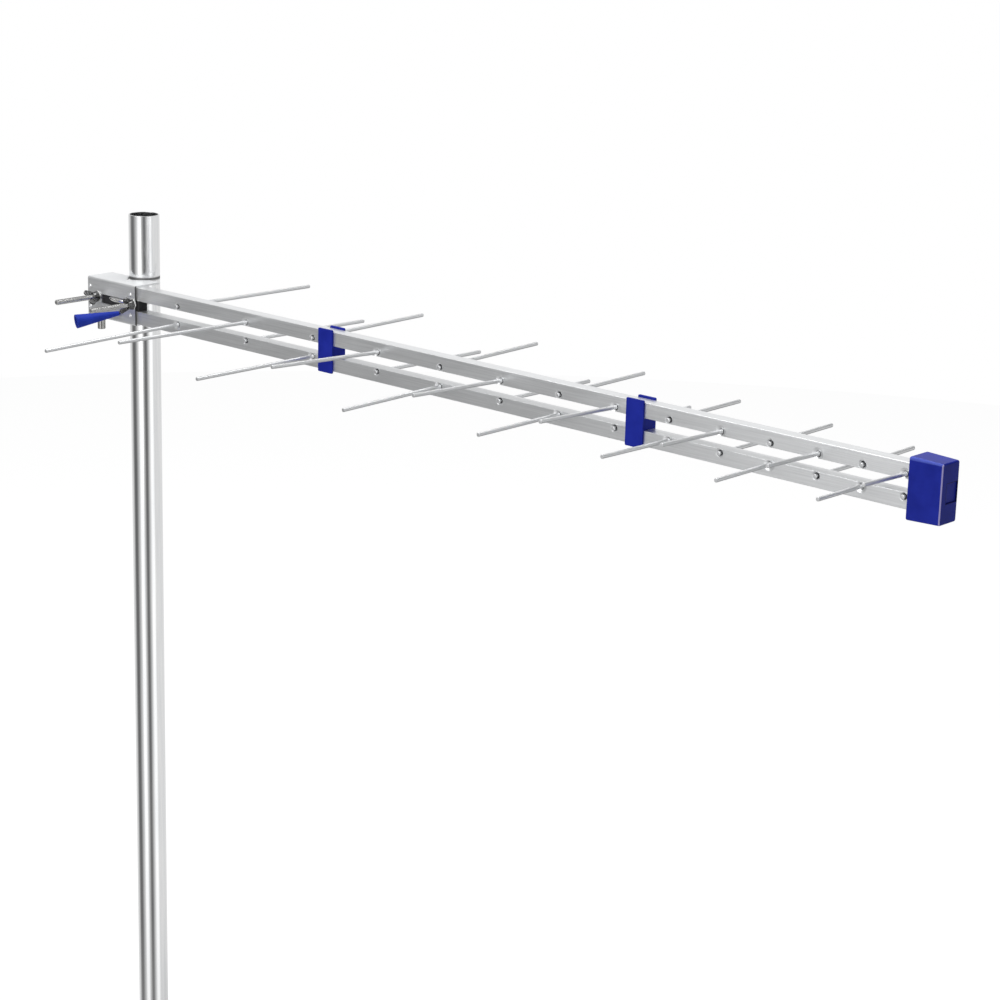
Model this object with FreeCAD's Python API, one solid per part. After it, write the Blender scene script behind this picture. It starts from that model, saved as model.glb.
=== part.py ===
import FreeCAD, Part
import math
import os

# Log-periodic television antenna on the top of a tube mast.
# Origin at the centre of the mast's foot, +Z up the mast, +X along the booms to the front cap,
# +Y away from the side where the clamp's wing nuts are. Millimetres.

V = FreeCAD.Vector
X_AXIS = V(1, 0, 0)
Y_AXIS = V(0, 1, 0)
Z_AXIS = V(0, 0, 1)

LENGTH_TOLERANCE = 1e-6

# Mast
MAST_OD = 35.0
MAST_WALL = 1.5
MAST_LENGTH = 996.7
MAST_RISE = 74.7

# Booms: two square tubes, one above the other
BOOM_SIDE = 15.0
BOOM_WALL = 1.5
BOOM_CORNER = 0.6
BOOM_GAP = 12.0
BOOM_REAR_OVERHANG = 48.5
MAST_TO_BOOM = 9.0

# Dipoles: their places follow one fixed ratio; half lengths, and how far the tips stand above
# their roots, are listed from the longest dipole to the shortest
DIPOLE_COUNT = 14
FIRST_DIPOLE_X = 106.0
FIRST_SPACING = 113.3
SPACING_RATIO = 0.9254
NEAR_SPANS = (181.4, 173.9, 159.2, 145.3, 133.9, 121.9, 112.9, 106.4, 95.0, 85.8, 77.7, 73.7, 64.5, 63.0)
FAR_SPANS = (184.6, 162.6, 150.7, 140.2, 131.1, 119.8, 113.6, 99.6, 92.2, 85.0, 79.1, 72.0, 64.0, 61.0)
NEAR_TIP_RISES = (-4.6, 1.8, -0.8, 6.0, -3.2, 4.2, -1.3, 3.4, 1.0, 1.9, -0.7, 1.9, 0.3, 1.9)
FAR_TIP_RISES = (-1.4, -1.8, 2.8, -1.0, 3.9, -0.2, 2.1, 2.1, 1.2, 0.0, 1.4, 0.0, 1.6, 0.0)
ROD_D = 4.0
ROD_TO_GAP = 4.0
ROD_STUB = 2.5
ROD_SIDES = 12
ROD_FIT = 0.05

# Pressed dimples in the boom walls where the rods go through
DIMPLE_SIDES = 8
DIMPLE_DEPTH = 0.9
ROOT_DIMPLE_R = 6.2
STUB_DIMPLE_R = 4.4
DIMPLE_FLOOR_R = 2.9

# Moulded spacers between the booms
SPACER_X = (346.1, 768.0)
SPACER_PLATE_WIDTH = 21.2
SPACER_PLATE_THICK = 2.0
SPACER_OVERHANG = 2.2
CLIP_FIT = 0.1

# Front cap
CAP_AFTER_LAST_DIPOLE = 7.0
CAP_LENGTH = 34.4
CAP_REAR_SIDE_MARGIN = 6.5
CAP_REAR_END_MARGIN = 7.5
CAP_FRONT_SIDE_MARGIN = 5.4
CAP_FRONT_END_MARGIN = 6.4
CAP_WALL = 2.0
CAP_REAR_PLATE = 3.0
CAP_FRONT_WALL = 4.0
CAP_CORNER = 2.2
CAP_CORNER_STEPS = 4
CAP_ENTRY = 20.0
PANEL_WIDTH = 17.0
PANEL_HEIGHT = 17.5
PANEL_SHIFT = 3.2
PANEL_DEPTH = 1.4

# Folded sheet bracket
SHEET = 2.0
BEND_R = 2.4
BRACKET_LENGTH = 84.0
BRACKET_REACH = 18.5
WINDOW_WIDTH = 49.0
WINDOW_HEIGHT = 10.5
WINDOW_CORNER = 1.0
NOTCH_HALF_ANGLE = 45.0
TOOTH_PITCH = 2.2
TOOTH_DEPTH = 1.1
MAST_SEAT_GAP = 0.3

# Rivets of the bracket
RIVET_X = (-44.5, 27.0)
RIVET_TO_GAP = 6.0
RIVET_SIDES = 12
RIVET_SHANK_R = 1.6
RIVET_FIT = 0.05
RIVET_HEAD_R = 2.3
RIVET_HEAD_TOP_R = 1.3
RIVET_HEAD_HEIGHT = 1.1
RIVET_TAIL_LENGTH = 2.4

# Block between the booms at the clamp
BLOCK_PAST_BRACKET = 4.0
BLOCK_BACK_INSET = 2.0
BLOCK_CHAMFER = 1.2

# U-bolt, washers and wing nuts
BOLT_R = 3.0
BOLT_SIDES = 12
LEG_SPACING = 62.0
LEG_RISE = 1.7
LEG_PROTRUSION = 59.5
LEG_HOLE_GAP = 0.4
WASHER_SIDES = 32
WASHER_R = 6.5
WASHER_THICK = 1.6
WASHER_GAP = 0.2
NUT_THREAD_GAP = 0.05
NUT_SEAT_GAP = 0.1
HUB_SIDES = 24
HUB_BASE_R = 6.0
HUB_TOP_R = 4.8
HUB_HEIGHT = 6.5
WING_REACH = 6.6
WING_RISE = 10.0
WING_LOBE_R = 3.7
WING_LOBE_SIDES = 16
WING_HUB_INSET = 0.6
WING_THICK = 2.2
WING_TURN_DEG = {"left": 40.0, "right": 115.0}

# Cable connector under the lower boom
CONNECTOR_FROM_REAR = 11.5
CONNECTOR_R = 4.7
CONNECTOR_LENGTH = 17.0
CONNECTOR_FIT = 0.05
CONNECTOR_SHOULDER_R = 5.1
CONNECTOR_SHOULDER_BELOW = 0.6
CONNECTOR_FLANGE_R = 5.9
CONNECTOR_FLANGE_SIDES = 16
CONNECTOR_FLANGE_THICK = 1.2
CONNECTOR_POST_R = 2.6
CONNECTOR_POST_SIDES = 8
CONNECTOR_POST_HEIGHT = 5.4
CONNECTOR_BORE_R = 3.9
CONNECTOR_BORE_DEPTH = 10.0
INSULATOR_FIT = 0.05
INSULATOR_RECESS = 1.0
INSULATOR_SIDES = 16
PIN_HOLE_R = 0.7
PIN_HOLE_SIDES = 6

# Rubber boot with its neck against the bracket, its mouth turned to the rear and a little down
BOOT_X = 8.0
BOOT_HEIGHT = 9.0
BOOT_TURN_DEG = 25.0
BOOT_DROP_DEG = 8.0
BOOT_LENGTH = 50.0
BOOT_SIDES = 32
BOOT_MOUTH_R = 8.0
BOOT_NECK_R = 2.8
BOOT_NECK_LENGTH = 3.0
BOOT_WALL = 1.4

# Feeder inside the lower boom and its joint to the upper boom inside the cap
COAX_R = 2.3
COAX_SIDES = 12
COAX_FLOOR_GAP = 0.2
COAX_END_GAP = 0.3
COAX_STOP = 3.0
CORE_R = 0.5
CORE_SIDES = 6
LUG_WIDTH = 8.0
LUG_THICK = 0.8
LUG_TAB_LENGTH = 9.0
LUG_END_GAP = 0.4
LUG_BELOW_CORE = 2.5
FEED_SCREW_R = 1.5
FEED_SCREW_SIDES = 8
FEED_SCREW_FIT = 0.05
FEED_SCREW_HEAD_R = 2.8
FEED_SCREW_HEAD_HEIGHT = 1.8
FEED_SCREW_FROM_END = 5.0
FEED_SCREW_INSIDE = 2.0

# Places worked out from the sizes above
MAST_R = MAST_OD / 2
BOOM_BACK = -(MAST_R + MAST_TO_BOOM)
BOOM_NEAR = BOOM_BACK - BOOM_SIDE
BOOM_MID_Y = (BOOM_BACK + BOOM_NEAR) / 2
UPPER_TOP = MAST_LENGTH - MAST_RISE
UPPER_BASE = UPPER_TOP - BOOM_SIDE
LOWER_TOP = UPPER_BASE - BOOM_GAP
LOWER_BASE = LOWER_TOP - BOOM_SIDE
GAP_MID = (UPPER_BASE + LOWER_TOP) / 2
BOOM_REAR = -BOOM_REAR_OVERHANG
ROD_R = ROD_D / 2
WEB_NEAR = BOOM_NEAR - SHEET
BRACKET_FRONT = BOOM_REAR + BRACKET_LENGTH
FLANGE_BACK = BOOM_BACK + BRACKET_REACH
LEG_X = LEG_SPACING / 2
LEG_Z = GAP_MID + LEG_RISE
CONNECTOR_X = BOOM_REAR + CONNECTOR_FROM_REAR
BOOM_FLOOR = LOWER_BASE + BOOM_WALL
COAX_Z = BOOM_FLOOR + COAX_FLOOR_GAP + COAX_R


def dipole_x(number):
    """X of a dipole; number 1 is the longest one, next to the mast."""
    steps = number - 1
    return FIRST_DIPOLE_X + FIRST_SPACING * (1 - SPACING_RATIO ** steps) / (1 - SPACING_RATIO)


CAP_REAR = dipole_x(DIPOLE_COUNT) + CAP_AFTER_LAST_DIPOLE
CAP_FRONT = CAP_REAR + CAP_LENGTH
BOOM_FRONT = CAP_REAR + CAP_ENTRY


def rod_run(number, near):
    """Direction of a half rod towards its tip, 1 mm long across the boom, and its length past the boom's face."""
    span = (NEAR_SPANS if near else FAR_SPANS)[number - 1]
    rise = (NEAR_TIP_RISES if near else FAR_TIP_RISES)[number - 1]
    return V(0, -1 if near else 1, rise / (span + BOOM_SIDE / 2)), span


def near_rod_is_low(number):
    """The near halves alternate between the booms, starting on the lower one."""
    return number % 2 == 1


def rod_z(low):
    """Height of a rod's axis in the lower or the upper boom."""
    return LOWER_TOP - ROD_TO_GAP if low else UPPER_BASE + ROD_TO_GAP


def box(x0, x1, y0, y1, z0, z1):
    """Box between two corners."""
    return Part.makeBox(x1 - x0, y1 - y0, z1 - z0, V(x0, y0, z0))


def section_corners(sides, radius, start, direction):
    """Corners of a regular section, the first one on the +X side, or on the +Z side of a bar along Y."""
    across = X_AXIS if abs(direction.z) > 0.5 else Z_AXIS
    other = direction.cross(across)
    turns = [2 * math.pi * side / sides for side in range(sides)]
    return [start + across * (radius * math.cos(turn)) + other * (radius * math.sin(turn)) for turn in turns]


def flat_face(corners):
    return Part.Face(Part.makePolygon(corners + [corners[0]]))


def prism(sides, radius, length, start, direction):
    """Bar of regular section."""
    return flat_face(section_corners(sides, radius, start, direction)).extrude(direction * length)


def around_flats(sides, radius):
    """Corner radius of a regular section whose flats touch a circle."""
    return radius / math.cos(math.pi / sides)


def flat_sided(low, high):
    """Solid between two similar outlines, with flat sides."""
    faces = [flat_face(low), flat_face(high)]
    for side in range(len(low)):
        after = (side + 1) % len(low)
        faces.append(flat_face([low[side], low[after], high[after], high[side]]))
    return Part.makeSolid(Part.makeShell(faces))


def frustum(sides, radius_0, radius_1, length, start, direction):
    """Tapered bar of regular section with flat sides."""
    low = section_corners(sides, radius_0, start, direction)
    return flat_sided(low, section_corners(sides, radius_1, start + direction * length, direction))


def edges_along(shape, axis):
    """Straight edges of a shape that run along an axis."""
    found = []
    for edge in shape.Edges:
        if edge.Curve.TypeId != "Part::GeomLine":
            continue
        run = edge.Vertexes[-1].Point.sub(edge.Vertexes[0].Point)
        if run.cross(axis).Length < LENGTH_TOLERANCE:
            found.append(edge)
    return found


def rounded_box(x0, x1, y0, y1, z0, z1, radius, axes):
    """Box with the edges along the given axes rounded."""
    shape = box(x0, x1, y0, y1, z0, z1)
    edges = [edge for axis in axes for edge in edges_along(shape, axis)]
    return shape.makeFillet(radius, edges)


def save(shape, name):
    """Write one piece to its own file."""
    solid = shape.removeSplitter()
    solid.exportStep("parts/" + name + ".step")
    print(name, "solids", len(solid.Solids), "valid", solid.isValid(), "volume", round(solid.Volume, 1))


# Mast tube with plain ends
def mast_tube():
    outer = Part.makeCylinder(MAST_R, MAST_LENGTH)
    return outer.cut(Part.makeCylinder(MAST_R - MAST_WALL, MAST_LENGTH))


# Booms
def square_tube(z0):
    outer = rounded_box(BOOM_REAR, BOOM_FRONT, BOOM_NEAR, BOOM_BACK, z0, z0 + BOOM_SIDE,
                        BOOM_CORNER, [X_AXIS])
    inner = box(BOOM_REAR, BOOM_FRONT, BOOM_NEAR + BOOM_WALL, BOOM_BACK - BOOM_WALL,
                z0 + BOOM_WALL, z0 + BOOM_SIDE - BOOM_WALL)
    return outer.cut(inner)


def dimple(x, z, near, radius):
    """Taper that presses the near or the far wall in round a rod."""
    face = BOOM_NEAR if near else BOOM_BACK
    inward = Y_AXIS if near else Y_AXIS * -1
    return frustum(DIMPLE_SIDES, radius, DIMPLE_FLOOR_R, DIMPLE_DEPTH, V(x, face, z), inward)


def boom(low):
    """One boom with its dimpled rod holes, rivet holes and end joint."""
    z0 = LOWER_BASE if low else UPPER_BASE
    z = rod_z(low)
    cutters = []
    hole_r = around_flats(DIMPLE_SIDES, ROD_R + ROD_FIT)
    for number in range(1, DIPOLE_COUNT + 1):
        x = dipole_x(number)
        root_is_near = near_rod_is_low(number) == low
        run = rod_run(number, root_is_near)[0]
        cutters.append(prism(DIMPLE_SIDES, hole_r, BOOM_SIDE, V(x, BOOM_MID_Y, z) - run * (BOOM_SIDE / 2), run))
        cutters.append(dimple(x, z, root_is_near, ROOT_DIMPLE_R))
        cutters.append(dimple(x, z, not root_is_near, STUB_DIMPLE_R))
    for x in RIVET_X:
        hole_start = V(x, BOOM_NEAR, rivet_z(low))
        cutters.append(prism(RIVET_SIDES, RIVET_SHANK_R + RIVET_FIT, BOOM_WALL, hole_start, Y_AXIS))
    if low:
        start = V(CONNECTOR_X, BOOM_MID_Y, LOWER_BASE)
        cutters.append(Part.makeCylinder(CONNECTOR_SHOULDER_R + CONNECTOR_FIT, BOOM_WALL, start, Z_AXIS))
    else:
        start = V(BOOM_FRONT - FEED_SCREW_FROM_END, BOOM_MID_Y, UPPER_BASE)
        cutters.append(prism(FEED_SCREW_SIDES, FEED_SCREW_R + FEED_SCREW_FIT, BOOM_WALL, start, Z_AXIS))
    return square_tube(z0).cut(cutters)


# Dipole rods, each one through both walls of its boom with a short stub on the other side
def rod(number, near):
    low = near_rod_is_low(number) == near
    run, span = rod_run(number, near)
    stub_end = V(dipole_x(number), BOOM_MID_Y, rod_z(low)) - run * (BOOM_SIDE / 2 + ROD_STUB)
    return prism(ROD_SIDES, ROD_R, ROD_STUB + BOOM_SIDE + span, stub_end, run)


# Moulded spacer: a stem between the booms and a plate on each side of them
def spacer(x):
    half_plate = SPACER_PLATE_WIDTH / 2
    low = LOWER_BASE - SPACER_OVERHANG
    high = UPPER_TOP + SPACER_OVERHANG
    near_face = BOOM_NEAR - CLIP_FIT
    back_face = BOOM_BACK + CLIP_FIT
    near_plate = box(x - half_plate, x + half_plate, near_face - SPACER_PLATE_THICK, near_face, low, high)
    back_plate = box(x - half_plate, x + half_plate, back_face, back_face + SPACER_PLATE_THICK, low, high)
    stem = box(x - half_plate, x + half_plate, near_face, back_face,
               LOWER_TOP + CLIP_FIT, UPPER_BASE - CLIP_FIT)
    return near_plate.fuse([back_plate, stem])


# Front cap: a thin-walled box, tapered to the front, whose rear plate fits round both booms
def cap_outline(x, side_margin, end_margin):
    """Rectangle round both booms, its corners rounded in short straight steps."""
    y0, y1 = BOOM_NEAR - side_margin + CAP_CORNER, BOOM_BACK + side_margin - CAP_CORNER
    z0, z1 = LOWER_BASE - end_margin + CAP_CORNER, UPPER_TOP + end_margin - CAP_CORNER
    points = []
    for quarter, (y, z) in enumerate([(y1, z1), (y0, z1), (y0, z0), (y1, z0)]):
        for step in range(CAP_CORNER_STEPS + 1):
            turn = (quarter + step / CAP_CORNER_STEPS) * math.pi / 2
            points.append(V(x, y + CAP_CORNER * math.cos(turn), z + CAP_CORNER * math.sin(turn)))
    return points


def front_cap():
    shell = flat_sided(cap_outline(CAP_REAR, CAP_REAR_SIDE_MARGIN, CAP_REAR_END_MARGIN),
                       cap_outline(CAP_FRONT, CAP_FRONT_SIDE_MARGIN, CAP_FRONT_END_MARGIN))
    side = CAP_FRONT_SIDE_MARGIN - CAP_WALL
    end = CAP_FRONT_END_MARGIN - CAP_WALL
    hollow = box(CAP_REAR + CAP_REAR_PLATE, CAP_FRONT - CAP_FRONT_WALL, BOOM_NEAR - side, BOOM_BACK + side,
                 LOWER_BASE - end, UPPER_TOP + end)
    sockets = [box(CAP_REAR, CAP_REAR + CAP_REAR_PLATE, BOOM_NEAR - CLIP_FIT, BOOM_BACK + CLIP_FIT,
                   base - CLIP_FIT, base + BOOM_SIDE + CLIP_FIT) for base in (LOWER_BASE, UPPER_BASE)]
    panel_y = BOOM_MID_Y + PANEL_SHIFT
    panel = box(CAP_FRONT - PANEL_DEPTH, CAP_FRONT, panel_y - PANEL_WIDTH / 2, panel_y + PANEL_WIDTH / 2,
                GAP_MID - PANEL_HEIGHT / 2, GAP_MID + PANEL_HEIGHT / 2)
    return shell.cut([hollow, panel] + sockets)


# Clamp bracket: one folded sheet with a web on the near side and a toothed flange above and below
def notch_side():
    """Points of one saw-toothed side of the notch, from its root to past the flange's edge."""
    angle = math.radians(NOTCH_HALF_ANGLE)
    along = V(math.sin(angle), math.cos(angle), 0)
    into_sheet = V(math.cos(angle), -math.sin(angle), 0)
    root = V(0, -(MAST_R + MAST_SEAT_GAP) / math.sin(angle), 0)
    run = (FLANGE_BACK - root.y) / math.cos(angle)
    teeth = math.ceil(run / TOOTH_PITCH)
    points = [root]
    for tooth in range(teeth):
        middle = (tooth + 0.5) * TOOTH_PITCH
        points.append(root + along * middle + into_sheet * TOOTH_DEPTH)
        points.append(root + along * ((tooth + 1) * TOOTH_PITCH))
    return points


def notch(z0, z1):
    """Cutter for the toothed notch that grips the mast."""
    right = notch_side()
    left = [V(-point.x, point.y, 0) for point in right[1:]]
    outline = [V(p.x, p.y, z0) for p in reversed(left)] + [V(p.x, p.y, z0) for p in right]
    face = Part.Face(Part.makePolygon(outline + [outline[0]]))
    return face.extrude(V(0, 0, z1 - z0))


def clamp_bracket():
    z0 = LOWER_BASE - SHEET
    z1 = UPPER_TOP + SHEET
    outer = box(BOOM_REAR, BRACKET_FRONT, WEB_NEAR, FLANGE_BACK, z0, z1)
    bends = [edge for edge in edges_along(outer, X_AXIS) if edge.Vertexes[0].Point.y < BOOM_NEAR]
    outer = outer.makeFillet(BEND_R, bends)
    channel = box(BOOM_REAR, BRACKET_FRONT, BOOM_NEAR, FLANGE_BACK, LOWER_BASE, UPPER_TOP)
    window = rounded_box(-WINDOW_WIDTH / 2, WINDOW_WIDTH / 2, WEB_NEAR, BOOM_NEAR,
                         GAP_MID - WINDOW_HEIGHT / 2, GAP_MID + WINDOW_HEIGHT / 2, WINDOW_CORNER, [Y_AXIS])
    cutters = [channel, window, notch(z0, z1)]
    for x in (-LEG_X, LEG_X):
        cutters.append(Part.makeCylinder(BOLT_R + LEG_HOLE_GAP, SHEET, V(x, WEB_NEAR, LEG_Z), Y_AXIS))
    for x in RIVET_X:
        for low in (True, False):
            start = V(x, WEB_NEAR, rivet_z(low))
            cutters.append(prism(RIVET_SIDES, RIVET_SHANK_R + RIVET_FIT, SHEET, start, Y_AXIS))
    connector_start = V(CONNECTOR_X, BOOM_MID_Y, z0)
    cutters.append(Part.makeCylinder(CONNECTOR_SHOULDER_R + CONNECTOR_FIT, SHEET, connector_start, Z_AXIS))
    return outer.cut(cutters)


# Rivets through the bracket's web and the booms' near walls
def rivet_z(low):
    return LOWER_TOP - RIVET_TO_GAP if low else UPPER_BASE + RIVET_TO_GAP


def rivet(x, z):
    """Head outside, shank through both sheets and into the boom."""
    head = frustum(RIVET_SIDES, RIVET_HEAD_R, RIVET_HEAD_TOP_R, RIVET_HEAD_HEIGHT, V(x, WEB_NEAR, z), Y_AXIS * -1)
    shank_length = SHEET + BOOM_WALL + RIVET_TAIL_LENGTH
    shank = prism(RIVET_SIDES, RIVET_SHANK_R, shank_length, V(x, WEB_NEAR, z), Y_AXIS)
    return head.fuse(shank)


def bracket_rivets():
    return Part.makeCompound([rivet(x, rivet_z(low)) for x in RIVET_X for low in (True, False)])


# Block that keeps the booms apart at the clamp, with a hole for each leg of the U-bolt
def clamp_block():
    front = BRACKET_FRONT + BLOCK_PAST_BRACKET
    shape = box(BOOM_REAR, front, BOOM_NEAR, BOOM_BACK - BLOCK_BACK_INSET, LOWER_TOP, UPPER_BASE)
    corners = [edge for edge in edges_along(shape, Z_AXIS) if edge.Vertexes[0].Point.x > BRACKET_FRONT]
    shape = shape.makeChamfer(BLOCK_CHAMFER, corners)
    holes = [Part.makeCylinder(BOLT_R + LEG_HOLE_GAP, BOOM_SIDE, V(x, BOOM_NEAR, LEG_Z), Y_AXIS)
             for x in (-LEG_X, LEG_X)]
    return shape.cut(holes)


# U-bolt round the back of the mast
def u_bolt():
    inner_r = LEG_X - BOLT_R
    bend_y = MAST_R + MAST_SEAT_GAP - inner_r
    leg_tip = WEB_NEAR - LEG_PROTRUSION
    legs = [prism(BOLT_SIDES, BOLT_R, bend_y - leg_tip, V(x, bend_y, LEG_Z), Y_AXIS * -1)
            for x in (-LEG_X, LEG_X)]
    section = max(legs[1].Faces, key=lambda face: face.CenterOfMass.y)
    bend = section.revolve(V(0, bend_y, LEG_Z), Z_AXIS, 180)
    return legs[0].fuse([legs[1], bend])


# Washer under a wing nut
def washer(x):
    start = V(x, WEB_NEAR, LEG_Z)
    ring = prism(WASHER_SIDES, WASHER_R, WASHER_THICK, start, Y_AXIS * -1)
    return ring.cut(Part.makeCylinder(BOLT_R + WASHER_GAP, WASHER_THICK, start, Y_AXIS * -1))


# Wing nut: a tapered hub and two swept ears, made along Z and then laid on its leg
def wing(sign):
    out, up = WING_LOBE_R * 0.8, WING_LOBE_R * 0.6
    corners = [(BOLT_R, WING_HUB_INSET), (HUB_BASE_R - WING_HUB_INSET, WING_HUB_INSET),
               (WING_REACH + out, WING_RISE - up), (WING_REACH - out, WING_RISE + up),
               (BOLT_R, HUB_HEIGHT - WING_HUB_INSET)]
    outline = [V(sign * u, -WING_THICK / 2, v) for u, v in corners]
    arm = Part.Face(Part.makePolygon(outline + [outline[0]])).extrude(V(0, WING_THICK, 0))
    lobe_start = V(sign * WING_REACH, -WING_THICK / 2, WING_RISE)
    return arm.fuse(prism(WING_LOBE_SIDES, WING_LOBE_R, WING_THICK, lobe_start, Y_AXIS))


def wing_nut(x, turn_deg):
    hub = frustum(HUB_SIDES, HUB_BASE_R, HUB_TOP_R, HUB_HEIGHT, V(0, 0, 0), Z_AXIS)
    shape = hub.fuse([wing(1), wing(-1)])
    reach = WING_RISE + WING_LOBE_R
    shape = shape.cut(Part.makeCylinder(BOLT_R + NUT_THREAD_GAP, reach)).removeSplitter()
    shape.rotate(V(0, 0, 0), Z_AXIS, -turn_deg)
    shape.rotate(V(0, 0, 0), X_AXIS, 90)
    shape.translate(V(x, WEB_NEAR - WASHER_THICK - NUT_SEAT_GAP, LEG_Z))
    return shape


# Cable connector: a flanged barrel put in from inside the lower boom
def connector_body():
    bottom = LOWER_BASE - CONNECTOR_LENGTH
    at = V(CONNECTOR_X, BOOM_MID_Y, bottom)
    barrel = Part.makeCylinder(CONNECTOR_R, BOOM_FLOOR - bottom, at)
    shoulder_z = LOWER_BASE - SHEET - CONNECTOR_SHOULDER_BELOW
    shoulder_start = V(CONNECTOR_X, BOOM_MID_Y, shoulder_z)
    shoulder = Part.makeCylinder(CONNECTOR_SHOULDER_R, BOOM_FLOOR - shoulder_z, shoulder_start)
    inside = V(CONNECTOR_X, BOOM_MID_Y, BOOM_FLOOR)
    flange = prism(CONNECTOR_FLANGE_SIDES, CONNECTOR_FLANGE_R, CONNECTOR_FLANGE_THICK, inside, Z_AXIS)
    post = prism(CONNECTOR_POST_SIDES, CONNECTOR_POST_R, CONNECTOR_POST_HEIGHT, inside, Z_AXIS)
    bore = Part.makeCylinder(CONNECTOR_BORE_R, CONNECTOR_BORE_DEPTH, at)
    return barrel.fuse([shoulder, flange, post]).cut(bore)


def connector_insulator():
    bottom = LOWER_BASE - CONNECTOR_LENGTH + INSULATOR_RECESS
    height = CONNECTOR_BORE_DEPTH - INSULATOR_RECESS
    start = V(CONNECTOR_X, BOOM_MID_Y, bottom)
    plug = prism(INSULATOR_SIDES, CONNECTOR_BORE_R - INSULATOR_FIT, height, start, Z_AXIS)
    return plug.cut(prism(PIN_HOLE_SIDES, PIN_HOLE_R, height, start, Z_AXIS))


# Boot: a hollow rubber cone made along Y, then turned about its neck and laid against the web
def connector_boot():
    mouth = V(BOOT_X, WEB_NEAR - BOOT_LENGTH, LOWER_BASE + BOOT_HEIGHT)
    taper = BOOT_LENGTH - BOOT_NECK_LENGTH
    neck = mouth + Y_AXIS * taper
    tapers, necks = [], []
    for wall in (0.0, BOOT_WALL):
        tapers.append(frustum(BOOT_SIDES, BOOT_MOUTH_R - wall, BOOT_NECK_R - wall, taper, mouth, Y_AXIS))
        necks.append(prism(BOOT_SIDES, BOOT_NECK_R - wall, BOOT_NECK_LENGTH, neck, Y_AXIS))
    shape = tapers[0].fuse(necks[0]).cut([tapers[1], necks[1]]).removeSplitter()
    pivot = neck + Y_AXIS * BOOT_NECK_LENGTH
    shape.rotate(pivot, X_AXIS, BOOT_DROP_DEG)
    shape.rotate(pivot, Z_AXIS, -BOOT_TURN_DEG)
    shape.translate(V(0, WEB_NEAR - shape.BoundBox.YMax, 0))
    return shape


# Feeder: cable along the floor of the lower boom, its core reaching the lug in the cap
def feed_coax():
    start = CONNECTOR_X + CONNECTOR_FLANGE_R + COAX_END_GAP
    end = BOOM_FRONT - COAX_STOP
    jacket = prism(COAX_SIDES, COAX_R, end - start, V(start, BOOM_MID_Y, COAX_Z), X_AXIS)
    core_run = BOOM_FRONT + LUG_END_GAP - end
    core = prism(CORE_SIDES, CORE_R, core_run, V(end, BOOM_MID_Y, COAX_Z), X_AXIS)
    return jacket.fuse(core)


def feed_lug():
    """Bent strip from the cable's core to the underside of the upper boom."""
    y0 = BOOM_MID_Y - LUG_WIDTH / 2
    y1 = BOOM_MID_Y + LUG_WIDTH / 2
    x0 = BOOM_FRONT + LUG_END_GAP
    strip = box(x0, x0 + LUG_THICK, y0, y1, COAX_Z - LUG_BELOW_CORE, UPPER_BASE)
    tab = box(BOOM_FRONT - LUG_TAB_LENGTH, x0 + LUG_THICK, y0, y1, UPPER_BASE - LUG_THICK, UPPER_BASE)
    hole_start = V(BOOM_FRONT - FEED_SCREW_FROM_END, BOOM_MID_Y, UPPER_BASE - LUG_THICK)
    hole = prism(FEED_SCREW_SIDES, FEED_SCREW_R + FEED_SCREW_FIT, LUG_THICK, hole_start, Z_AXIS)
    return strip.fuse(tab).cut(hole)


def feed_screw():
    x = BOOM_FRONT - FEED_SCREW_FROM_END
    seat = UPPER_BASE - LUG_THICK
    shank_length = LUG_THICK + BOOM_WALL + FEED_SCREW_INSIDE
    shank = prism(FEED_SCREW_SIDES, FEED_SCREW_R, shank_length, V(x, BOOM_MID_Y, seat), Z_AXIS)
    head_start = V(x, BOOM_MID_Y, seat - FEED_SCREW_HEAD_HEIGHT)
    head = prism(FEED_SCREW_SIDES, FEED_SCREW_HEAD_R, FEED_SCREW_HEAD_HEIGHT, head_start, Z_AXIS)
    return shank.fuse(head)


def build():
    os.makedirs("parts", exist_ok=True)
    save(mast_tube(), "mast_tube")
    save(boom(True), "lower_boom")
    save(boom(False), "upper_boom")
    for number in range(1, DIPOLE_COUNT + 1):
        save(rod(number, True), "dipole_%02d_near_rod" % number)
        save(rod(number, False), "dipole_%02d_far_rod" % number)
    save(spacer(SPACER_X[0]), "spacer_rear")
    save(spacer(SPACER_X[1]), "spacer_front")
    save(front_cap(), "front_cap")
    save(clamp_bracket(), "clamp_bracket")
    save(bracket_rivets(), "bracket_rivets")
    save(clamp_block(), "clamp_block")
    save(u_bolt(), "u_bolt")
    for side, x in (("left", -LEG_X), ("right", LEG_X)):
        save(washer(x), "washer_" + side)
        save(wing_nut(x, WING_TURN_DEG[side]), "wing_nut_" + side)
    save(connector_body(), "connector_body")
    save(connector_insulator(), "connector_insulator")
    save(connector_boot(), "connector_boot")
    save(feed_coax(), "feed_coax")
    save(feed_lug(), "feed_lug")
    save(feed_screw(), "feed_screw")


build()
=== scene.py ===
import bpy
import math
from mathutils import Vector, Matrix

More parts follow.
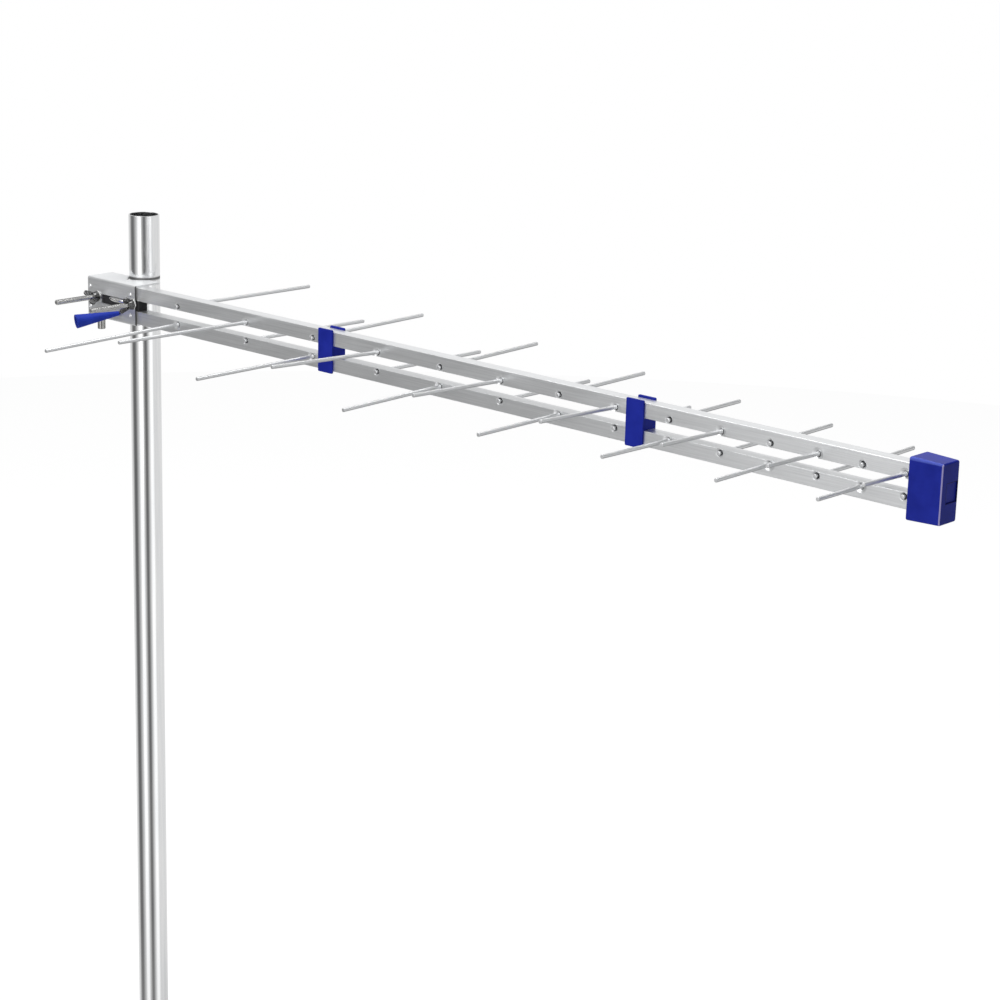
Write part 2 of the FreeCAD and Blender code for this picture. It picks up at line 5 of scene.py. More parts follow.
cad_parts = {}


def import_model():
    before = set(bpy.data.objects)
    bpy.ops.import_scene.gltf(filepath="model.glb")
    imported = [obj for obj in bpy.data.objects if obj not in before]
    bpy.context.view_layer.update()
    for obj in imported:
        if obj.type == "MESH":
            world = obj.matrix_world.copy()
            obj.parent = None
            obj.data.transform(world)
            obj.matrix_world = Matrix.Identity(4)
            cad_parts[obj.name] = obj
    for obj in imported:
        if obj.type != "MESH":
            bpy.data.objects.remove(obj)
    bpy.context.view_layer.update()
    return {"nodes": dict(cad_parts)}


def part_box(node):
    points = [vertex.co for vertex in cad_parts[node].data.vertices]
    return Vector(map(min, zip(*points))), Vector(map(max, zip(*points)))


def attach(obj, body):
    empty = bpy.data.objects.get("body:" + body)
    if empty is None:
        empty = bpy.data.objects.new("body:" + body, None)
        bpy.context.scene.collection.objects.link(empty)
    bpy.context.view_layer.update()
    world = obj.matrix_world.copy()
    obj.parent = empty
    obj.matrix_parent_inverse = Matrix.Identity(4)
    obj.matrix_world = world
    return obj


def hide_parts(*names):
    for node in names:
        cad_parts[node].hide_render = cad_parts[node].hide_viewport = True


# Television antenna clamped to its mast, dressed on the CAD frame. Metres, +Z up, +X to the front cap.
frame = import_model()

MM = 0.001
UP = Vector((0, 0, 1))
ORIGIN = Vector((0, 0, 0))
TO_BACK = Vector((0, 1, 0))
SAME_PLACE = 0.05 * MM

# Sizes that the finish pieces share with the frame's nodes
MAST_WALL = 1.5 * MM
BOOM_WALL = 1.5 * MM
BOOM_CORNER = 0.6 * MM
ROD_R = 2.0 * MM
ROD_FIT = 0.05 * MM
DIMPLE_DEPTH = 1.15 * MM
ROOT_DIMPLE_R = 6.2 * MM
STUB_DIMPLE_R = 4.4 * MM
DIMPLE_FLOOR_R = 2.7 * MM
BOLT_R = 3.0 * MM
THREAD_PITCH = 1.0 * MM
THREAD_DEPTH = 0.35 * MM
FIT = 0.1 * MM

DIPOLES = sorted({name[:9] for name in frame["nodes"] if name.startswith("dipole_")})


def middle(node_name):
    """Centre of a node's box."""
    low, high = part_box(node_name)
    return (low + high) / 2


LOWER_LOW, LOWER_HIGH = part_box("lower_boom")
UPPER_LOW, UPPER_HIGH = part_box("upper_boom")
BOOM_MID_Y = (LOWER_LOW.y + LOWER_HIGH.y) / 2
GAP_MID = (LOWER_HIGH.z + UPPER_LOW.z) / 2
BOOM_SIDE = LOWER_HIGH.y - LOWER_LOW.y
WEB_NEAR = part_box("clamp_bracket")[0].y

# Shallow panel in the cap's end, set off to the far side
PANEL_Y = BOOM_MID_Y + 3.2 * MM
PANEL_HALF_WIDTH = 8.5 * MM
PANEL_HALF_HEIGHT = 8.75 * MM
PANEL_DEPTH = 1.4 * MM


def rod_ends(node_name):
    """Centres of a rod's two ends, the stub's first; near rods point to -Y."""
    low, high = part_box(node_name)
    points = [vertex.co for vertex in frame["nodes"][node_name].data.vertices]
    ends = []
    for y in (high.y, low.y) if "near" in node_name else (low.y, high.y):
        ring = [point for point in points if abs(point.y - y) < SAME_PLACE]
        centre = [(min(point[axis] for point in ring) + max(point[axis] for point in ring)) / 2
                  for axis in range(3)]
        ends.append(Vector(centre))
    return ends


def rod_root(node_name):
    """Point of a rod's axis in the middle of its boom."""
    stub, tip = rod_ends(node_name)
    return stub.lerp(tip, (BOOM_MID_Y - stub.y) / (tip.y - stub.y))


# Modelling helpers

def clear_selection():
    """Leave edit mode and deselect everything."""
    if bpy.context.object and bpy.context.object.mode != "OBJECT":
        bpy.ops.object.mode_set(mode="OBJECT")
    bpy.ops.object.select_all(action="DESELECT")


def make_active(piece):
    """Select one object alone."""
    clear_selection()
    piece.select_set(True)
    bpy.context.view_layer.objects.active = piece


def settle(piece):
    """Put a piece's place, turn and scale into its mesh."""
    make_active(piece)
    bpy.ops.object.transform_apply(location=True, rotation=True, scale=True)


def pick(piece, kind, test):
    """In edit mode, select the edges or faces whose centre and direction pass a test."""
    make_active(piece)
    bpy.ops.object.mode_set(mode="EDIT")
    bpy.ops.mesh.select_mode(type=kind)
    bpy.ops.mesh.select_all(action="DESELECT")
    bpy.ops.object.mode_set(mode="OBJECT")
    mesh = piece.data
    if kind == "FACE":
        for face in mesh.polygons:
            face.select = test(face.center, face.normal)
    else:
        for edge in mesh.edges:
            start, end = (mesh.vertices[i].co for i in edge.vertices)
            edge.select = test((start + end) / 2, (end - start).normalized())
    bpy.ops.object.mode_set(mode="EDIT")


def apply_modifier(piece, kind, **settings):
    """Add one modifier, set it and apply it."""
    make_active(piece)
    modifier = piece.modifiers.new(kind.title(), kind)
    for name, value in settings.items():
        setattr(modifier, name, value)
    bpy.ops.object.modifier_apply(modifier=modifier.name)


def soften(piece, width, segments=2, angle=40.0):
    """Break the sharp edges with a small rounding."""
    apply_modifier(piece, "BEVEL", width=width, segments=segments, limit_method="ANGLE",
                   angle_limit=math.radians(angle), use_clamp_overlap=True)


def smooth(piece, angle=35.0):
    """Smooth shading that keeps edges above an angle sharp and flat faces flat."""
    make_active(piece)
    bpy.ops.object.shade_smooth_by_angle(angle=math.radians(angle))
    apply_modifier(piece, "WEIGHTED_NORMAL", keep_sharp=True)


def outward(piece):
    """Turn all faces outwards."""
    make_active(piece)
    bpy.ops.object.mode_set(mode="EDIT")
    bpy.ops.mesh.select_all(action="SELECT")
    bpy.ops.mesh.normals_make_consistent(inside=False)
    bpy.ops.object.mode_set(mode="OBJECT")


def block(low, high):
    """Box between two corners."""
    clear_selection()
    bpy.ops.mesh.primitive_cube_add(size=1, location=(low + high) / 2, scale=high - low)
    piece = bpy.context.object
    settle(piece)
    return piece


def aim_along(piece, start, direction):
    """Turn a piece made along +Z to a direction and move it to its start."""
    piece.matrix_world = Matrix.Translation(start) @ direction.to_track_quat("Z", "Y").to_matrix().to_4x4()
    settle(piece)


def turned(rings, start, direction, segments=48, closed=False):
    """Turned piece from (distance, radius) rings along a direction; a closed one is a ring with no end faces."""
    clear_selection()
    distance, radius = rings[0]
    bpy.ops.mesh.primitive_circle_add(vertices=segments, radius=radius, location=(0, 0, distance))
    piece = bpy.context.object
    settle(piece)
    make_active(piece)
    bpy.ops.object.mode_set(mode="EDIT")
    bpy.ops.mesh.select_all(action="SELECT")
    if not closed:
        bpy.ops.mesh.edge_face_add()
    extrude = bpy.ops.mesh.extrude_edges_move if closed else bpy.ops.mesh.extrude_region_move
    for next_distance, next_radius in rings[1:]:
        extrude(TRANSFORM_OT_translate={"value": (0, 0, next_distance - distance)})
        grow = next_radius / radius
        bpy.ops.transform.resize(value=(grow, grow, 1), center_override=(0, 0, next_distance))
        distance, radius = next_distance, next_radius
    bpy.ops.mesh.select_all(action="SELECT")
    bpy.ops.mesh.remove_doubles(threshold=0.002 * MM)
    bpy.ops.object.mode_set(mode="OBJECT")
    aim_along(piece, start, direction)
    outward(piece)
    return piece


def copy_of(piece, move):
    """Copy with its own mesh, moved."""
    make_active(piece)
    bpy.ops.object.duplicate(linked=False)
    twin = bpy.context.object
    twin.location = move
    settle(twin)
    return twin


def join(pieces):
    """Several meshes as one object."""
    clear_selection()
    for piece in pieces:
        piece.select_set(True)
    bpy.context.view_layer.objects.active = pieces[0]
    bpy.ops.object.join()
    return pieces[0]


def remove(piece):
    """Delete one object."""
    make_active(piece)
    bpy.ops.object.delete()


def combine(piece, other, operation):
    """Cut another piece out of this one, or unite them, and remove the other."""
    apply_modifier(piece, "BOOLEAN", object=other, operation=operation, solver="EXACT", use_self=True)
    remove(other)


def bevel_picked(offset, segments):
    """Round the picked edges and leave edit mode."""
    bpy.ops.mesh.bevel(offset=offset, segments=segments)
    bpy.ops.object.mode_set(mode="OBJECT")


def node_copy(node_name):
    """Copy of a CAD node with its loose triangles merged, ready to be finished."""
    source = frame["nodes"][node_name]
    piece = bpy.data.objects.new(node_name + "_finish", source.data.copy())
    bpy.context.scene.collection.objects.link(piece)
    piece.data.materials.clear()
    make_active(piece)
    bpy.ops.object.mode_set(mode="EDIT")
    bpy.ops.mesh.select_all(action="SELECT")
    bpy.ops.mesh.remove_doubles(threshold=0.001 * MM)
    bpy.ops.mesh.dissolve_limited(angle_limit=math.radians(0.5))
    bpy.ops.object.mode_set(mode="OBJECT")
    return piece


def place(piece, name, body, material, node_name):
    """Name a finished piece, give it its finish and body, and let it stand for its node."""
    piece.name = name
    piece.data.name = name
    piece.data.materials.clear()
    piece.data.materials.append(material)
    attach(piece, body)
    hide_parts(node_name)


# Materials

def new_material(name):
    """Empty node material with its main shader."""
    material = bpy.data.materials.new(name)
    material.use_nodes = True
    tree = material.node_tree
    shader = tree.nodes["Principled BSDF"]
    return material, tree, shader


def node(tree, kind, **sockets):
    """Add a node and set its input sockets by name."""
    made = tree.nodes.new(kind)
    for name, value in sockets.items():
        made.inputs[name.replace("_", " ")].default_value = value
    return made


def axes(tree, coordinates):
    """X, Y and Z outputs of a kind of coordinates."""
    source = tree.nodes.new("ShaderNodeTexCoord")
    parts = tree.nodes.new("ShaderNodeSeparateXYZ")
    tree.links.new(source.outputs[coordinates], parts.inputs["Vector"])
    return parts.outputs


def calculated(tree, operation, first, second):
    """Value of an operation on two others."""
    made = node(tree, "ShaderNodeMath")
    made.operation = operation
    tree.links.new(first, made.inputs[0])
    tree.links.new(second, made.inputs[1])
    return made.outputs["Value"]


def between(tree, source, start, full, **limits):
    """Value that goes from 0 to 1, or between other limits, while the source goes from start to full."""
    made = node(tree, "ShaderNodeMapRange", From_Min=start, From_Max=full, **limits)
    tree.links.new(source, made.inputs["Value"])
    return made.outputs["Result"]


def blended(tree, factor, first, second):
    """Colour between two, each given as a colour or as an output."""
    made = tree.nodes.new("ShaderNodeMix")
    made.data_type = "RGBA"
    tree.links.new(factor, made.inputs["Factor"])
    for name, value in (("A", first), ("B", second)):
        if isinstance(value, tuple):
            made.inputs[name].default_value = (*value, 1)
        else:
            tree.links.new(value, made.inputs[name])
    return made.outputs["Result"]


def object_noise(tree, stretch, scale):
    """Noise on the piece's own coordinates, stretched by the given amounts."""
    coordinates = tree.nodes.new("ShaderNodeTexCoord")
    mapping = node(tree, "ShaderNodeMapping", Scale=stretch)
    noise = node(tree, "ShaderNodeTexNoise", Scale=scale, Detail=3.0)
    tree.links.new(coordinates.outputs["Object"], mapping.inputs["Vector"])
    tree.links.new(mapping.outputs["Vector"], noise.inputs["Vector"])
    return noise.outputs["Fac"]


def ramp(tree, source, stops):
    """Colour ramp over a value, from (position, colour) stops."""
    made = tree.nodes.new("ShaderNodeValToRGB")
    elements = made.color_ramp.elements
    while len(elements) < len(stops):
        elements.new(0.5)
    for element, (position, colour) in zip(elements, stops):
        element.position = position
        element.color = (*colour, 1)
    tree.links.new(source, made.inputs["Fac"])
    return made.outputs["Color"]


def add_bump(tree, shader, source, strength, distance):
    """Fine relief from a value."""
    bump = node(tree, "ShaderNodeBump", Strength=strength, Distance=distance)
    tree.links.new(source, bump.inputs["Height"])
    tree.links.new(bump.outputs["Normal"], shader.inputs["Normal"])


def metal(name, dark, light, stretch, scale, rough_low, rough_high, relief, mirror=1.0):
    """Metal with drawn or rolled streaks in colour, gloss and relief; less mirror gives a paler, duller skin."""
    material, tree, shader = new_material(name)
    shader.inputs["Metallic"].default_value = mirror
    streaks = object_noise(tree, stretch, scale)
    tree.links.new(ramp(tree, streaks, [(0.3, dark), (0.7, light)]), shader.inputs["Base Color"])
    rough = between(tree, streaks, 0.0, 1.0, To_Min=rough_low, To_Max=rough_high)
    tree.links.new(rough, shader.inputs["Roughness"])
    add_bump(tree, shader, streaks, relief, 0.05 * MM)
    return material


def tinted(material, tint, *bands, rough=None):
    """Blend in a tint, and a roughness, where the point is inside every band (axis, start, full strength)."""
    tree = material.node_tree
    shader = tree.nodes["Principled BSDF"]
    parts = axes(tree, "Object")
    factor = None
    for axis, start, full in bands:
        band = between(tree, parts[axis], start, full)
        factor = calculated(tree, "MULTIPLY", factor, band) if factor else band
    plain = shader.inputs["Base Color"].links[0].from_socket
    tree.links.new(blended(tree, factor, plain, tint), shader.inputs["Base Color"])
    if rough:
        dull = node(tree, "ShaderNodeMapRange", To_Max=rough)
        tree.links.new(factor, dull.inputs["Value"])
        tree.links.new(shader.inputs["Roughness"].links[0].from_socket, dull.inputs["To Min"])
        tree.links.new(dull.outputs["Result"], shader.inputs["Roughness"])


def moulded(name, dark, light, roughness, grain, relief):
    """Moulded plastic or rubber with slight flow marks and a fine skin."""
    material, tree, shader = new_material(name)
    flow = object_noise(tree, (1, 1, 1), 60.0)
    skin = object_noise(tree, (1, 1, 1), grain)
    tree.links.new(ramp(tree, flow, [(0.3, dark), (0.7, light)]), shader.inputs["Base Color"])
    rough = between(tree, flow, 0.0, 1.0, To_Min=roughness * 0.85, To_Max=roughness * 1.15)
    tree.links.new(rough, shader.inputs["Roughness"])
    shader.inputs["Specular IOR Level"].default_value = 0.07
    add_bump(tree, shader, skin, relief, 0.03 * MM)
    return material


mast_steel = metal("mast_zinc_steel", (0.80, 0.81, 0.82), (0.90, 0.90, 0.90), (1, 1, 0.04), 260.0,
                   0.10, 0.17, 0.10)
boom_aluminium = metal("boom_extruded_aluminium", (0.76, 0.77, 0.78), (0.86, 0.87, 0.88), (0.02, 1, 1), 900.0,
                       0.30, 0.38, 0.25, 0.85)
rod_aluminium = metal("rod_drawn_aluminium", (0.66, 0.67, 0.68), (0.78, 0.79, 0.80), (1, 0.02, 1), 900.0,
                      0.34, 0.44, 0.25, 0.85)
bracket_aluminium = metal("bracket_rolled_aluminium", (0.68, 0.69, 0.70), (0.78, 0.79, 0.80), (0.05, 1, 1), 500.0,
                          0.38, 0.46, 0.20, 0.85)
rivet_aluminium = metal("rivet_bright_aluminium", (0.80, 0.81, 0.82), (0.90, 0.90, 0.91), (1, 1, 1), 400.0,
                        0.18, 0.28, 0.15)
bolt_steel = metal("bolt_zinc_steel", (0.78, 0.78, 0.78), (0.94, 0.94, 0.93), (1, 0.1, 1), 500.0,
                   0.14, 0.24, 0.15)
# Painted shade: the wing nuts' steel gets a near-black base that stands in for their shade and the dark studio they
# mirror.
nut_metal_painted_shade = metal("nut_cast_steel", (0.05, 0.05, 0.05), (0.24, 0.24, 0.24), (1, 1, 1), 350.0,
                  0.06, 0.14, 0.50)
connector_nickel = metal("connector_nickel", (0.36, 0.36, 0.35), (0.50, 0.49, 0.48), (1, 1, 1), 300.0,
                         0.06, 0.12, 0.10)
blue_plastic = moulded("cap_blue_plastic", (0.010, 0.019, 0.26), (0.015, 0.027, 0.33), 0.33, 900.0, 0.25)
blue_rubber = moulded("boot_blue_rubber", (0.016, 0.036, 0.32), (0.022, 0.046, 0.40), 0.48, 700.0, 0.30)
black_plastic = moulded("block_black_plastic", (0.024, 0.024, 0.025), (0.042, 0.042, 0.044), 0.50, 800.0, 0.30)
white_plastic = moulded("insulator_white_plastic", (0.72, 0.71, 0.68), (0.80, 0.79, 0.76), 0.45, 800.0, 0.20)
cable_jacket = moulded("feeder_pale_jacket", (0.62, 0.62, 0.60), (0.72, 0.72, 0.70), 0.50, 800.0, 0.20)


def tint_bracket_and_mast():
    """Painted shade on the web's front edge, painted shade and a duller gloss on the top flange's face, and a band
    of painted shade with a duller gloss round the mast at the flange's height.
    """
    painted_edge_shade, painted_top_shade, painted_contact_shade = (0.10, 0.10, 0.10), (0.76, 0.77, 0.78), (0.20, 0.20, 0.20)
    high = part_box("clamp_bracket")[1]
    # Painted shade: the web's front cut edge is darkened as if it lay in shade.
    tinted(bracket_aluminium, painted_edge_shade, ("X", high.x - 0.3 * MM, high.x - 0.1 * MM),
           ("Y", LOWER_LOW.y + 0.3 * MM, LOWER_LOW.y))
    # Painted shade: the top flange's face gets a set grey that dims its lit brightness, and a duller gloss.
    tinted(bracket_aluminium, painted_top_shade, ("Z", high.z - 0.3 * MM, high.z - 0.1 * MM), rough=0.6)
    # Painted shade: a dark band round the mast at the flange's height stands in for the shade and dark reflection
    # of the gap at the notch, with a duller gloss.
    tinted(mast_steel, painted_contact_shade, ("Z", high.z - 2.0 * MM, high.z), ("Z", high.z + 3.2 * MM, high.z + 1.6 * MM),
           rough=0.6)


def tint_cap():
    """Shade round the rim of the cap's panel and on its floor, and painted highlights along the cap's near top and
    front edges.
    """
    rim, sunk, painted_highlight_top, painted_highlight_front = ((0.004, 0.005, 0.09), (0.016, 0.028, 0.34), (0.07, 0.10, 0.48),
                                           (0.38, 0.35, 0.62))
    low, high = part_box("front_cap")
    low_y, high_y = PANEL_Y - PANEL_HALF_WIDTH, PANEL_Y + PANEL_HALF_WIDTH
    low_z, high_z = GAP_MID - PANEL_HALF_HEIGHT, GAP_MID + PANEL_HALF_HEIGHT
    tinted(blue_plastic, rim, ("X", high.x - 2.0 * MM, high.x - 1.9 * MM),
           ("Y", low_y - 0.9 * MM, low_y - 0.6 * MM), ("Y", high_y + 0.9 * MM, high_y + 0.6 * MM),
           ("Z", low_z - 0.9 * MM, low_z - 0.6 * MM), ("Z", high_z + 0.9 * MM, high_z + 0.6 * MM))
    tinted(blue_plastic, sunk, ("X", high.x - 1.1 * MM, high.x - 1.3 * MM),
           ("Y", low_y, low_y + 0.2 * MM), ("Y", high_y - 0.4 * MM, high_y - 0.6 * MM),
           ("Z", low_z, low_z + 0.2 * MM), ("Z", high_z, high_z - 0.2 * MM))
    # Painted highlight: a lighter blue line along the cap's near top edge.
    tinted(blue_plastic, painted_highlight_top, ("Z", high.z - 3.4 * MM, high.z - 2.4 * MM),
           ("Y", low.y + 3.2 * MM, low.y + 2.2 * MM))
    # Painted highlight: a light lilac line along the cap's near front edge.
    tinted(blue_plastic, painted_highlight_front, ("X", high.x - 1.5 * MM, high.x - 1.1 * MM),
           ("X", high.x - 0.1 * MM, high.x - 0.3 * MM), ("Y", low.y + 2.7 * MM, low.y + 2.3 * MM))


tint_bracket_and_mast()
tint_cap()


# Mast

def mast_tube():
    """Round tube, open at both ends."""
    low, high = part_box("mast_tube")
    clear_selection()
    bpy.ops.mesh.primitive_cylinder_add(vertices=128, radius=(high.x - low.x) / 2, depth=high.z - low.z,
                                        end_fill_type="NOTHING", location=(low + high) / 2)
    piece = bpy.context.object
    settle(piece)
    outward(piece)
    apply_modifier(piece, "SOLIDIFY", thickness=MAST_WALL, offset=-1.0, use_rim=True)
    soften(piece, 0.25 * MM)
    smooth(piece)
    place(piece, "mast", "mast", mast_steel, "mast_tube")


# Booms

def dimple_cutter(root_near):
    """Tool that presses both walls in round a rod and opens its hole, from the near face to the back one."""
    near_r, back_r = (ROOT_DIMPLE_R, STUB_DIMPLE_R) if root_near else (STUB_DIMPLE_R, ROOT_DIMPLE_R)
    slopes = [(0.0, 1.0), (0.08, 0.86), (0.5, 0.42), (0.92, 0.06), (1.0, 0.0)]
    clear, flare = 0.3 * MM, 0.8 * MM
    rings = [(-clear, near_r + flare)]
    rings += [(fall * DIMPLE_DEPTH, DIMPLE_FLOOR_R + (near_r - DIMPLE_FLOOR_R) * wide) for fall, wide in slopes]
    rings += [(DIMPLE_DEPTH, ROD_R + ROD_FIT), (BOOM_SIDE - DIMPLE_DEPTH, ROD_R + ROD_FIT)]
    rings += [(BOOM_SIDE - fall * DIMPLE_DEPTH, DIMPLE_FLOOR_R + (back_r - DIMPLE_FLOOR_R) * wide)
              for fall, wide in reversed(slopes)]
    rings += [(BOOM_SIDE + clear, back_r + flare)]
    return turned(rings, ORIGIN, TO_BACK, segments=32)


def boom(name):
    """Square tube, open at both ends, its walls pressed in round each rod that it holds."""
    low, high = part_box(name)
    piece = block(low, high)
    pick(piece, "FACE", lambda centre, normal: abs(normal.x) > 0.9)
    bpy.ops.mesh.delete(type="FACE")
    bpy.ops.object.mode_set(mode="OBJECT")
    apply_modifier(piece, "SOLIDIFY", thickness=BOOM_WALL, offset=-1.0, use_rim=True)
    mid_z, outside = (low.z + high.z) / 2, (high.z - low.z) / 2 - FIT
    pick(piece, "EDGE", lambda centre, along: abs(along.x) > 0.99
         and max(abs(centre.y - BOOM_MID_Y), abs(centre.z - mid_z)) > outside)
    bevel_picked(BOOM_CORNER, 4)
    patterns = {True: dimple_cutter(True), False: dimple_cutter(False)}
    cutters = []
    for dipole in DIPOLES:
        for side in ("near", "far"):
            at = rod_root(dipole + "_" + side + "_rod")
            if low.z < at.z < high.z:
                cutters.append(copy_of(patterns[side == "near"], Vector((at.x, low.y, at.z))))
    for pattern in patterns.values():
        remove(pattern)
    combine(piece, join(cutters), "DIFFERENCE")
    smooth(piece, 50.0)
    place(piece, name + "_tube", "antenna", boom_aluminium, name)


# Dipole rods

def rod(node_name):
    """Half dipole: a headed stub, a collar in the root's dimple and a rounded tip."""
    stub, tip = rod_ends(node_name)
    inset = (tip - stub).normalized() * 0.08 * MM
    stub, tip = stub + inset, tip - inset
    length = (tip - stub).length
    stub_length = 2.5 * MM
    root = stub_length + BOOM_SIDE
    head, collar = ROD_R * 1.14, ROD_R * 1.22
    rings = [(0.0, ROD_R * 0.72), (0.12 * MM, ROD_R * 0.95), (0.35 * MM, head), (1.0 * MM, head),
             (1.5 * MM, ROD_R), (root - DIMPLE_DEPTH, ROD_R), (root - DIMPLE_DEPTH, collar),
             (root - 0.25 * MM, collar), (root, ROD_R), (length * 0.5, ROD_R),
             (length - 0.35 * MM, ROD_R), (length - 0.08 * MM, ROD_R * 0.93), (length, ROD_R * 0.82)]
    piece = turned(rings, stub, (tip - stub).normalized(), segments=24)
    smooth(piece, 50.0)
    place(piece, node_name.replace("_rod", "_element"), "antenna", rod_aluminium, node_name)


# Moulded spacers

def spacer(name):
    """Two plates on the booms' near and back faces, joined by a stem in the gap."""
    low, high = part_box(name)
    corner, stem_inset, overlap = 1.2 * MM, 0.4 * MM, 1.0 * MM
    plates = []
    for y0, y1 in ((low.y, LOWER_LOW.y - FIT), (LOWER_HIGH.y + FIT, high.y)):
        plate = block(Vector((low.x, y0, low.z)), Vector((high.x, y1, high.z)))
        pick(plate, "EDGE", lambda centre, along: abs(along.y) > 0.9)
        bevel_picked(corner, 4)
        plates.append(plate)
    stem = block(Vector((low.x + stem_inset, LOWER_LOW.y - overlap, LOWER_HIGH.z + FIT)),
                 Vector((high.x - stem_inset, LOWER_HIGH.y + overlap, UPPER_LOW.z - FIT)))
    piece = plates[0]
    for part in (plates[1], stem):
        combine(piece, part, "UNION")
    soften(piece, 0.45 * MM, 3)
    smooth(piece)
    place(piece, name + "_moulding", "antenna", blue_plastic, name)


# Front cap

def front_cap():
    """Box tapered to the front, with a shallow panel in its end, hollow behind and open for both booms."""
    low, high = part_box("front_cap")
    taper, corner, edge = 1.1 * MM, 2.2 * MM, 1.6 * MM
    back, side, front = 3.0 * MM, 3.1 * MM, 4.0 * MM
    socket_depth, clear = 5.0 * MM, 1.0 * MM
    piece = block(low, high)
    for vertex in piece.data.vertices:
        if vertex.co.x > (low.x + high.x) / 2:
            vertex.co.y -= math.copysign(taper, vertex.co.y - BOOM_MID_Y)
            vertex.co.z -= math.copysign(taper, vertex.co.z - GAP_MID)
    pick(piece, "EDGE", lambda centre, along: abs(along.x) > 0.9)
    bevel_picked(corner, 6)
    soften(piece, edge, 4, 60.0)
    panel = block(Vector((high.x - PANEL_DEPTH, PANEL_Y - PANEL_HALF_WIDTH, GAP_MID - PANEL_HALF_HEIGHT)),
                  Vector((high.x + clear, PANEL_Y + PANEL_HALF_WIDTH, GAP_MID + PANEL_HALF_HEIGHT)))
    hollow = block(Vector((low.x + back, low.y + side, low.z + side)),
                   Vector((high.x - front, high.y - side, high.z - side)))
    combine(piece, panel, "DIFFERENCE")
    soften(piece, 0.45 * MM, 3, 60.0)
    combine(piece, hollow, "DIFFERENCE")
    for boom_low, boom_high in ((LOWER_LOW, LOWER_HIGH), (UPPER_LOW, UPPER_HIGH)):
        socket = block(Vector((low.x - clear, boom_low.y - FIT, boom_low.z - FIT)),
                       Vector((low.x + socket_depth, boom_high.y + FIT, boom_high.z + FIT)))
        combine(piece, socket, "DIFFERENCE")
    soften(piece, 0.2 * MM, 2, 60.0)
    smooth(piece)
    place(piece, "front_cap_moulding", "antenna", blue_plastic, "front_cap")


# Clamp

def clamp_bracket():
    """Folded sheet in its CAD shape, its edges broken."""
    piece = node_copy("clamp_bracket")
    soften(piece, 0.18 * MM, 2, 50.0)
    smooth(piece, 50.0)
    place(piece, "bracket_sheet", "antenna", bracket_aluminium, "clamp_bracket")


def bracket_rivets():
    """Four set blind rivets: a low head with its mandrel's pit, and a tail behind the boom's wall."""
    low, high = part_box("bracket_rivets")
    head_r, shank_r, tail_r = 2.3 * MM, 1.6 * MM, 2.2 * MM
    head = [(0.0, head_r), (0.25 * MM, head_r), (0.6 * MM, head_r * 0.86), (0.9 * MM, head_r * 0.62),
            (1.05 * MM, head_r * 0.36), (0.95 * MM, head_r * 0.30), (0.75 * MM, head_r * 0.22)]
    tail = [(0.0, shank_r), (4.4 * MM, shank_r), (4.6 * MM, tail_r), (5.6 * MM, tail_r), (5.9 * MM, shank_r)]
    pattern = join([turned(head, ORIGIN, -TO_BACK, segments=32), turned(tail, ORIGIN, TO_BACK, segments=24)])
    places = [Vector((x, WEB_NEAR, z)) for x in (low.x + head_r, high.x - head_r)
              for z in (low.z + head_r, high.z - head_r)]
    piece = join([copy_of(pattern, at) for at in places])
    remove(pattern)
    smooth(piece, 50.0)
    place(piece, "bracket_rivet_set", "antenna", rivet_aluminium, "bracket_rivets")


def clamp_block():
    """Moulded block in its CAD shape, its edges broken."""
    piece = node_copy("clamp_block")
    soften(piece, 0.3 * MM, 2, 50.0)
    smooth(piece, 50.0)
    place(piece, "gap_block", "antenna", black_plastic, "clamp_block")


def thread(at, direction, radius, pitch, length, depth):
    """Helical ridge of a screw thread round an axis, from a point along a direction."""
    size = depth * 0.62
    clear_selection()
    bpy.ops.mesh.primitive_circle_add(vertices=3, radius=size, fill_type="NOTHING",
                                      location=(radius - size, 0, size),
                                      rotation=(math.radians(90), 0, 0))
    ridge = bpy.context.object
    settle(ridge)
    apply_modifier(ridge, "SCREW", axis="Z", angle=2 * math.pi, screw_offset=pitch, steps=24, render_steps=24,
                   iterations=int(length / pitch) - 1, use_merge_vertices=False)
    pick(ridge, "EDGE", lambda centre, along: False)
    bpy.ops.mesh.select_non_manifold()
    bpy.ops.mesh.edge_face_add()
    bpy.ops.object.mode_set(mode="OBJECT")
    aim_along(ridge, at, direction)
    outward(ridge)
    return ridge


